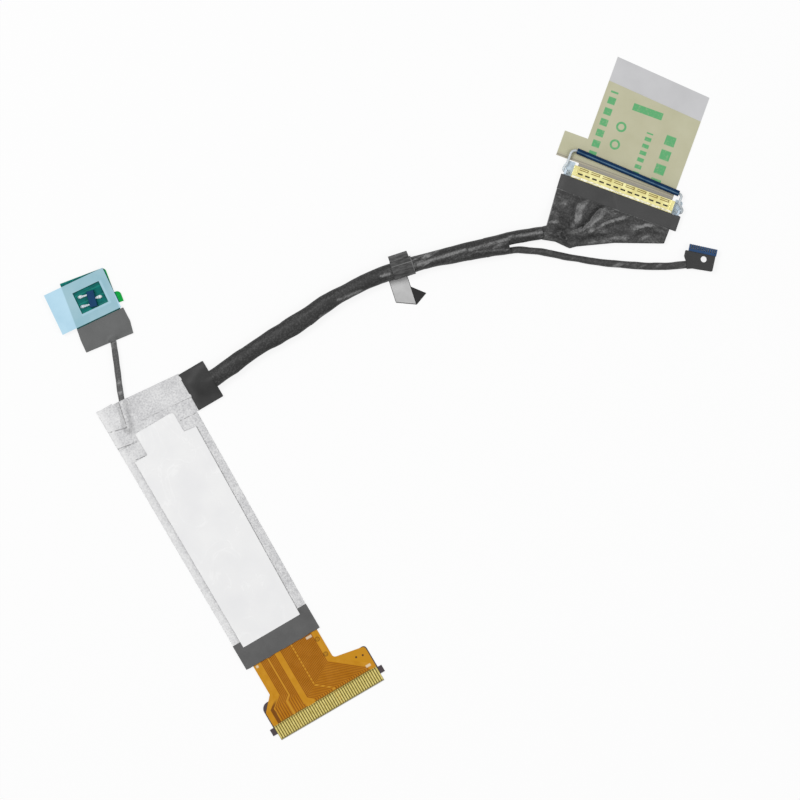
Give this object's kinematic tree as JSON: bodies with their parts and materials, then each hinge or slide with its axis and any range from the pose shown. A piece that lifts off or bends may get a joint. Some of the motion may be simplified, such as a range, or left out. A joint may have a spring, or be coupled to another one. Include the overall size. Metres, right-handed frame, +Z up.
{
  "type": "lcd display cable",
  "caption": "Display cable: flexible circuit in a cloth shield, wire bundle to a panel plug with pull bar, branch plug and magnetic sensor lead.",
  "frame": {"origin": "middle of the board plug's contact end, on the surface that the cable lies on", "axes": "+Y along the flexible circuit away from its contacts, +X towards the panel plug, +Z up from the surface"},
  "size_m": [0.1347, 0.0974, 0.0032],
  "materials": {
    "polyimide": "glossy amber film",
    "copper": "copper under amber film",
    "gold": "gold plated",
    "backing": "dark stiffener",
    "support": "pale stiffener",
    "shield_cloth": "silver grey conductive cloth",
    "grey_tape": "dark grey tape",
    "adhesive": "tacky",
    "white_liner": "coated paper",
    "black_tape": "satin black tape",
    "grey_liner": "grey paper",
    "solder": "pale gold solder",
    "shell_gold": "bright gold plated",
    "housing_black": "moulded",
    "ear_steel": "bright tinned",
    "bail_steel": "polished spring wire",
    "bar_blue": "dark blue tube",
    "flap_film": "translucent grey film",
    "tan_liner": "tan release paper",
    "comb_blue": "blue moulding",
    "board_green": "solder mask",
    "chip_navy": "moulded",
    "tin": "tinned",
    "sensor_liner": "pale blue film"
  },
  "bodies": {
    "harness": {"flex_circuit": "polyimide", "contact_fingers": "gold", "copper_traces": "copper", "plug_backing": "backing", "contact_support": "support", "shield_sleeve": "shield_cloth", "shield_top_patch": "shield_cloth", "shield_corner_patch": "shield_cloth", "end_tape": "grey_tape", "adhesive_pad": "adhesive", "adhesive_liner": "white_liner", "joint_tape": "black_tape", "main_cable": "black_tape", "panel_lead": "black_tape", "branch_cable": "black_tape", "branch_wrap": "black_tape", "flag_tape": "black_tape", "flag_liner": "grey_liner", "fan_wrap": "black_tape", "edge_tape": "black_tape", "ground_bar": "solder", "panel_shell": "shell_gold", "panel_housing": "housing_black", "panel_contacts": "gold", "panel_ears": "ear_steel", "flap_film": "flap_film", "flap_liner": "tan_liner", "branch_housing": "comb_blue", "branch_contacts": "gold", "branch_tape": "black_tape", "sensor_lead": "black_tape", "sensor_board": "board_green", "sensor_pad": "adhesive", "sensor_liner": "sensor_liner", "sensor_chip": "chip_navy", "chip_legs": "tin", "sensor_tape": "grey_tape"},
    "pull_bar": {"pull_bar": "bail_steel", "pull_bar_sleeve": "bar_blue"}
  },
  "joints": [
    {"name": "pull_bar_hinge", "type": "hinge", "parent": "harness", "child": "pull_bar", "pos_m": [0.09841, 0.05772, 0.00093], "axis": [0.6369, -0.7709, 0], "range_deg": [0, 100]}
  ]
}
